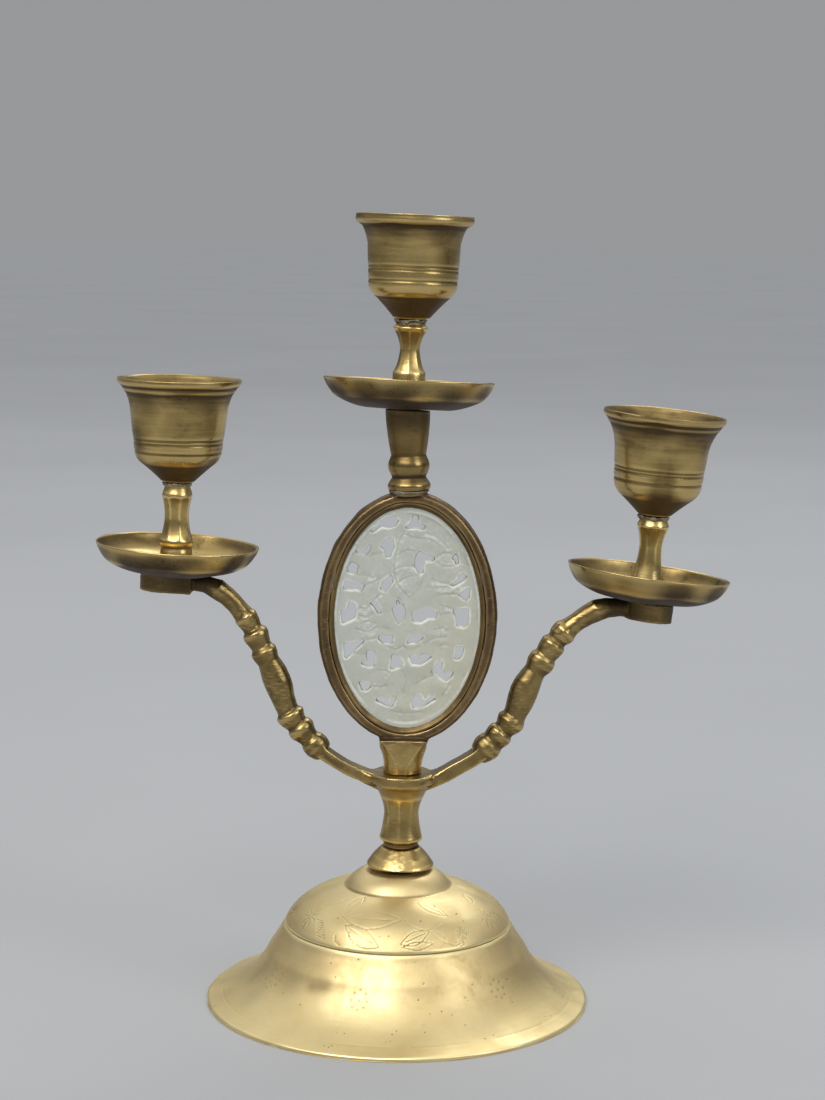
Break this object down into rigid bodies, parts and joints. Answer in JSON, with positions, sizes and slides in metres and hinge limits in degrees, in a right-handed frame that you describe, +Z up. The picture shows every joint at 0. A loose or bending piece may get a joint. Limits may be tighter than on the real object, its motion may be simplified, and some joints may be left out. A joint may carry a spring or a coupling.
{
  "type": "tabletop candelabra",
  "caption": "Brass table candelabra: domed foot, short column, curved arms beside an oval pierced stone medallion, and candle cups standing in loose drip pans.",
  "frame": {"origin": "centre of the foot's rim circle on the table", "axes": "+Z up; -Y is the front, which the medallion's bezel faces; +X towards the right arm; the column leans 0.75 degrees towards +X"},
  "size_m": [0.205, 0.1252, 0.2568],
  "materials": {
    "dome_brass": "brushed, lightly stained",
    "filed_brass": "filed bright",
    "column_brass": "turned, aged",
    "arm_brass": "cast, aged, bright on the edges",
    "neck_brass": "turned, aged",
    "pan_brass": "spun, aged outside",
    "stem_brass": "turned and filed",
    "cup_brass": "turned, olive patina",
    "frame_brass": "red-brown patina",
    "bezel_brass": "dark with a bright edge",
    "jade": "waxy, polished",
    "steel": "dull",
    "solder": "rough silver-grey"
  },
  "bodies": {
    "foot": {"base_dome": "dome_brass"},
    "upright": {"tie_stud": "steel", "base_washer": "steel", "base_nut": "steel", "foot_cone": "filed_brass", "column": "column_brass", "arm_hub": "filed_brass", "arm_left": "arm_brass", "arm_right": "arm_brass", "lower_neck": "filed_brass", "medallion_frame": "frame_brass", "front_bezel": "bezel_brass", "jade_plaque": "jade", "back_ring": "bezel_brass", "upper_neck": "neck_brass", "neck_solder": "solder"},
    "left_pan": {"pan_left": "pan_brass"},
    "left_cup": {"stem_left": "stem_brass", "stud_left": "steel", "solder_left": "solder", "cup_left": "cup_brass"},
    "middle_pan": {"pan_middle": "pan_brass"},
    "middle_cup": {"stem_middle": "stem_brass", "stud_middle": "steel", "solder_middle": "solder", "cup_middle": "cup_brass"},
    "right_pan": {"pan_right": "pan_brass"},
    "right_cup": {"stem_right": "stem_brass", "stud_right": "steel", "solder_right": "solder", "cup_right": "cup_brass"}
  },
  "joints": [
    {"name": "column_swivel", "type": "hinge", "parent": "foot", "child": "upright", "pos_m": [0.0007, 0, 0.0435], "axis": [0.0131, 0, 0.9999], "continuous": true},
    {"name": "left_pan_spin", "type": "hinge", "parent": "upright", "child": "left_pan", "pos_m": [-0.07273, 0, 0.14097], "axis": [0.0584, 0, 0.9983], "continuous": true},
    {"name": "left_cup_screw", "type": "hinge", "parent": "upright", "child": "left_cup", "pos_m": [-0.07273, 0, 0.14097], "axis": [0.0236, 0, 0.9997], "range_deg": [0, 720]},
    {"name": "middle_pan_spin", "type": "hinge", "parent": "upright", "child": "middle_pan", "pos_m": [0.00158, 0, 0.1945], "axis": [0.0375, 0.0575, 0.9976], "continuous": true},
    {"name": "middle_cup_screw", "type": "hinge", "parent": "upright", "child": "middle_cup", "pos_m": [0.00158, 0, 0.1945], "axis": [0.0305, 0.0087, 0.9995], "range_deg": [0, 720]},
    {"name": "right_pan_spin", "type": "hinge", "parent": "upright", "child": "right_pan", "pos_m": [0.07889, 0, 0.13358], "axis": [0.121, 0.0382, 0.9919], "continuous": true},
    {"name": "right_cup_screw", "type": "hinge", "parent": "upright", "child": "right_cup", "pos_m": [0.07889, 0, 0.13358], "axis": [0.0828, -0.0174, 0.9964], "range_deg": [0, 720]}
  ]
}
